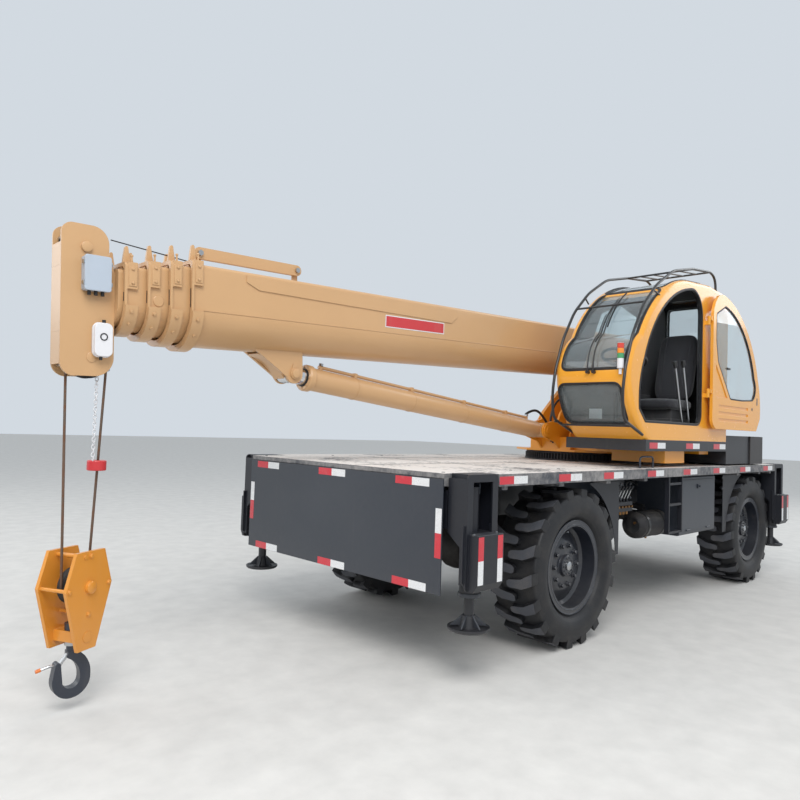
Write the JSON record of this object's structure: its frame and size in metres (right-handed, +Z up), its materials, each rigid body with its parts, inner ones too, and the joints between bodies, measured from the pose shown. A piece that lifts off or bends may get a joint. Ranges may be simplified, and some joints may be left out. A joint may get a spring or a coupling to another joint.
{
  "type": "mobile crane",
  "caption": "Two-axle mobile crane: flat low carrier with outriggers, slewing upper works with one cab, and a telescopic boom carrying a hook block on wire rope.",
  "frame": {"origin": "on the ground, in the middle of the whole length and width", "axes": "+X forward, the way the parked boom points; +Y to the machine's left; +Z up"},
  "size_m": [7.8249, 2.584, 3.19],
  "materials": {
    "chassis_paint": "satin",
    "deck_paint": "dusty satin",
    "boom_paint": "gloss",
    "cab_paint": "gloss",
    "turret_paint": "gloss",
    "weight_paint": "satin",
    "platform_paint": "satin",
    "rubber_tyre": "matte",
    "rim_paint": "satin",
    "glass": "clear",
    "black_metal": "semi-gloss",
    "dark_fabric": "matte",
    "steel_rope": "oiled",
    "chrome_rod": "polished",
    "cast_dark": "rough",
    "block_paint": "gloss",
    "hook_black": "satin",
    "box_grey": "satin"
  },
  "bodies": {
    "carrier": {"chassis_frame": "chassis_paint", "deck": "deck_paint", "end_plates": "chassis_paint", "outrigger_housings": "chassis_paint", "side_panels": "chassis_paint", "toolbox": "chassis_paint", "fuel_tank": "chassis_paint", "air_tank": "cast_dark", "ladder": "chassis_paint", "valve_bank": "chassis_paint", "engine_block": "cast_dark", "front_axle": "cast_dark", "rear_axle": "cast_dark", "leaf_springs": "cast_dark", "slew_ring": "cast_dark"},
    "upper_works": {"turret": "turret_paint", "side_platforms": "platform_paint", "tail_boxes": "platform_paint", "counterweight": "weight_paint", "winch": "cast_dark", "hydraulic_tank": "platform_paint", "cab_shell": "cab_paint", "cab_glass": "glass", "cab_seat": "dark_fabric", "cab_controls": "black_metal", "guard_rails": "black_metal"},
    "door": {"cab_door": "cab_paint", "door_glass": "glass"},
    "boom_1": {"boom_base": "boom_paint", "top_arm": "boom_paint"},
    "boom_2": {"boom_section_2": "boom_paint"},
    "boom_3": {"boom_section_3": "boom_paint"},
    "boom_4": {"boom_section_4": "boom_paint"},
    "boom_5": {"boom_section_5": "boom_paint", "head_sheaves": "cast_dark", "head_boxes": "box_grey"},
    "cylinder_barrel": {"lift_barrel": "boom_paint"},
    "cylinder_rod": {"lift_rod": "chrome_rod"},
    "ropes": {"rope_falls": "steel_rope"},
    "block": {"hook_block": "block_paint", "block_sheave": "cast_dark"},
    "hook": {"hook": "hook_black"},
    "knuckle_left": {"knuckle_left": "cast_dark"},
    "knuckle_right": {"knuckle_right": "cast_dark"},
    "wheel_front_left": {"tyre_front_left": "rubber_tyre", "rim_front_left": "rim_paint"},
    "outrigger_front_left": {"outrigger_beam_front_left": "chassis_paint"},
    "jack_front_left": {"jack_front_left": "chassis_paint"},
    "wheel_front_right": {"tyre_front_right": "rubber_tyre", "rim_front_right": "rim_paint"},
    "outrigger_front_right": {"outrigger_beam_front_right": "chassis_paint"},
    "jack_front_right": {"jack_front_right": "chassis_paint"},
    "wheel_rear_left": {"tyre_rear_left": "rubber_tyre", "rim_rear_left": "rim_paint"},
    "outrigger_rear_left": {"outrigger_beam_rear_left": "chassis_paint"},
    "jack_rear_left": {"jack_rear_left": "chassis_paint"},
    "wheel_rear_right": {"tyre_rear_right": "rubber_tyre", "rim_rear_right": "rim_paint"},
    "outrigger_rear_right": {"outrigger_beam_rear_right": "chassis_paint"},
    "jack_rear_right": {"jack_rear_right": "chassis_paint"}
  },
  "joints": [
    {"name": "steer_left", "type": "hinge", "parent": "carrier", "child": "knuckle_left", "pos_m": [0.573, 0.74, 0.578], "axis": [0, 0, 1], "range_deg": [-28, 28]},
    {"name": "steer_right", "type": "hinge", "parent": "carrier", "child": "knuckle_right", "pos_m": [0.573, -0.74, 0.578], "axis": [0, 0, 1], "range_deg": [-28, 28]},
    {"name": "spin_front_left", "type": "hinge", "parent": "knuckle_left", "child": "wheel_front_left", "pos_m": [0.573, 0.96, 0.578], "axis": [0, 1, 0], "continuous": true},
    {"name": "beam_front_left", "type": "slide", "parent": "carrier", "child": "outrigger_front_left", "axis": [0, 1, 0], "range_m": [0, 1.05]},
    {"name": "jack_slide_front_left", "type": "slide", "parent": "outrigger_front_left", "child": "jack_front_left", "axis": [0, 0, -1], "range_m": [0, 0.45]},
    {"name": "spin_front_right", "type": "hinge", "parent": "knuckle_right", "child": "wheel_front_right", "pos_m": [0.573, -0.96, 0.578], "axis": [0, 1, 0], "continuous": true},
    {"name": "beam_front_right", "type": "slide", "parent": "carrier", "child": "outrigger_front_right", "axis": [0, -1, 0], "range_m": [0, 1.05]},
    {"name": "jack_slide_front_right", "type": "slide", "parent": "outrigger_front_right", "child": "jack_front_right", "axis": [0, 0, -1], "range_m": [0, 0.45]},
    {"name": "spin_rear_left", "type": "hinge", "parent": "carrier", "child": "wheel_rear_left", "pos_m": [-3.052, 0.96, 0.578], "axis": [0, 1, 0], "continuous": true},
    {"name": "beam_rear_left", "type": "slide", "parent": "carrier", "child": "outrigger_rear_left", "axis": [0, 1, 0], "range_m": [0, 1.05]},
    {"name": "jack_slide_rear_left", "type": "slide", "parent": "outrigger_rear_left", "child": "jack_rear_left", "axis": [0, 0, -1], "range_m": [0, 0.45]},
    {"name": "spin_rear_right", "type": "hinge", "parent": "carrier", "child": "wheel_rear_right", "pos_m": [-3.052, -0.96, 0.578], "axis": [0, 1, 0], "continuous": true},
    {"name": "beam_rear_right", "type": "slide", "parent": "carrier", "child": "outrigger_rear_right", "axis": [0, -1, 0], "range_m": [0, 1.05]},
    {"name": "jack_slide_rear_right", "type": "slide", "parent": "outrigger_rear_right", "child": "jack_rear_right", "axis": [0, 0, -1], "range_m": [0, 0.45]},
    {"name": "slew", "type": "hinge", "parent": "carrier", "child": "upper_works", "pos_m": [-1.413, 0, 1.39], "axis": [0, 0, 1], "continuous": true},
    {"name": "cab_door_hinge", "type": "hinge", "parent": "upper_works", "child": "door", "pos_m": [-1.49, 1.262, 1.9], "axis": [0, 0, -1], "range_deg": [0, 180]},
    {"name": "luff", "type": "hinge", "parent": "upper_works", "child": "boom_1", "pos_m": [-2.463, 0, 2.445], "axis": [0, -1, 0], "range_deg": [0, 77]},
    {"name": "telescope_2", "type": "slide", "parent": "boom_1", "child": "boom_2", "axis": [0.9993, 0, -0.0375], "range_m": [0, 4.5]},
    {"name": "telescope_3", "type": "slide", "parent": "boom_2", "child": "boom_3", "axis": [0.9993, 0, -0.0375], "range_m": [0, 4.5]},
    {"name": "telescope_4", "type": "slide", "parent": "boom_3", "child": "boom_4", "axis": [0.9993, 0, -0.0375], "range_m": [0, 4.5]},
    {"name": "telescope_5", "type": "slide", "parent": "boom_4", "child": "boom_5", "axis": [0.9993, 0, -0.0375], "range_m": [0, 4.5]},
    {"name": "cylinder_swing", "type": "hinge", "parent": "upper_works", "child": "cylinder_barrel", "pos_m": [-0.56, 0, 1.588], "axis": [0, -1, 0], "range_deg": [0, 90]},
    {"name": "cylinder_stroke", "type": "slide", "parent": "cylinder_barrel", "child": "cylinder_rod", "axis": [0.9946, 0, 0.1038], "range_m": [0, 2.6]},
    {"name": "rope_hang", "type": "hinge", "parent": "boom_5", "child": "ropes", "pos_m": [3.72214, 0, 1.87956], "axis": [0, -1, 0], "range_deg": [-80, 5]},
    {"name": "hoist", "type": "slide", "parent": "ropes", "child": "block", "axis": [0, 0, 1], "range_m": [0, 0.4], "deforming": ["rope_falls"]},
    {"name": "hook_swivel", "type": "hinge", "parent": "block", "child": "hook", "pos_m": [3.72214, 0, 0.4], "axis": [0, 0, 1], "continuous": true}
  ],
  "couplings": [
    {"joint": "steer_right", "follows": "steer_left", "ratio": 1},
    {"joint": "telescope_3", "follows": "telescope_2", "ratio": 1},
    {"joint": "telescope_4", "follows": "telescope_2", "ratio": 1},
    {"joint": "telescope_5", "follows": "telescope_2", "ratio": 1},
    {"joint": "cylinder_swing", "follows": "luff", "ratio": 1.1286},
    {"joint": "cylinder_stroke", "follows": "luff", "m_per_rad": 1.8623},
    {"joint": "rope_hang", "follows": "luff", "ratio": -1}
  ]
}
